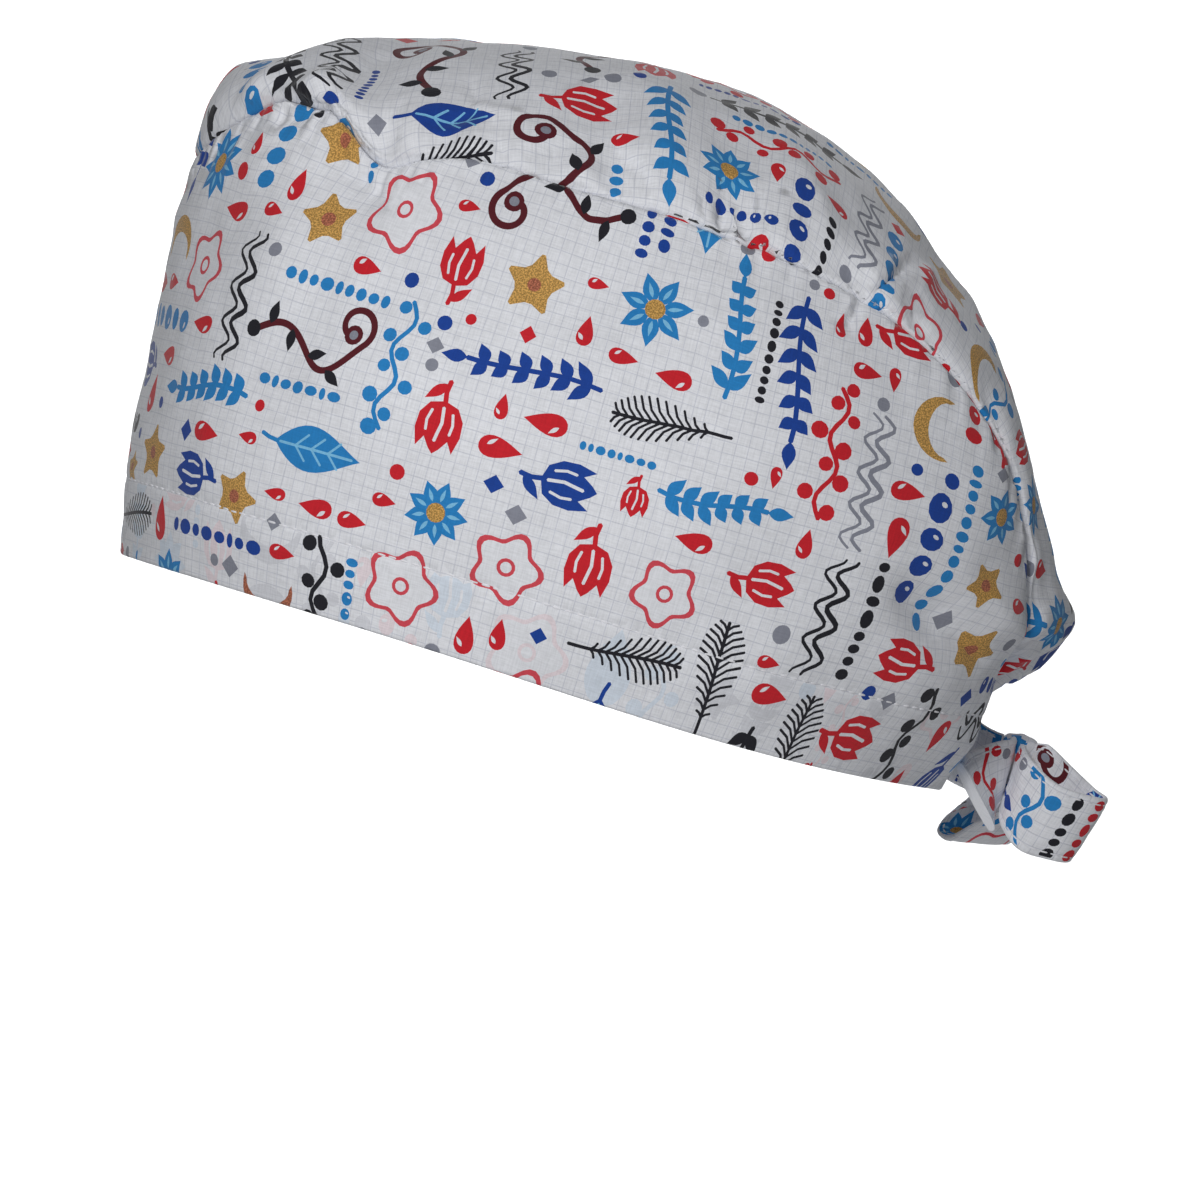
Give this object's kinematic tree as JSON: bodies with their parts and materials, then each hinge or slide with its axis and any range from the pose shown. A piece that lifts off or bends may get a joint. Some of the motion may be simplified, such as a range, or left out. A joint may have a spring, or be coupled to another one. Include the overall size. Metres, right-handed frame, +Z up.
{
  "type": "scrub cap",
  "caption": "Soft tie-back cloth cap with a tall side panel, an eased top panel that bags out over the nape, and ties in a small bow.",
  "frame": {"origin": "centre of the rim opening, where the cap sits on a head, half way along the line from the front of the rim to its nape", "axes": "+Z up as worn, front of the cap towards -Y, wearer's left towards +X; the rim is worn with its front high"},
  "size_m": [0.1712, 0.2341, 0.1966],
  "materials": {
    "printed_cotton": "matt plain weave with a scattered print"
  },
  "bodies": {
    "root": {"side_panel": "printed_cotton", "top_panel": "printed_cotton", "tie_left": "printed_cotton", "tie_right": "printed_cotton", "bow_knot": "printed_cotton", "bow_loop_left": "printed_cotton", "bow_loop_right": "printed_cotton", "tie_end_left": "printed_cotton", "tie_end_right": "printed_cotton"}
  },
  "joints": []
}
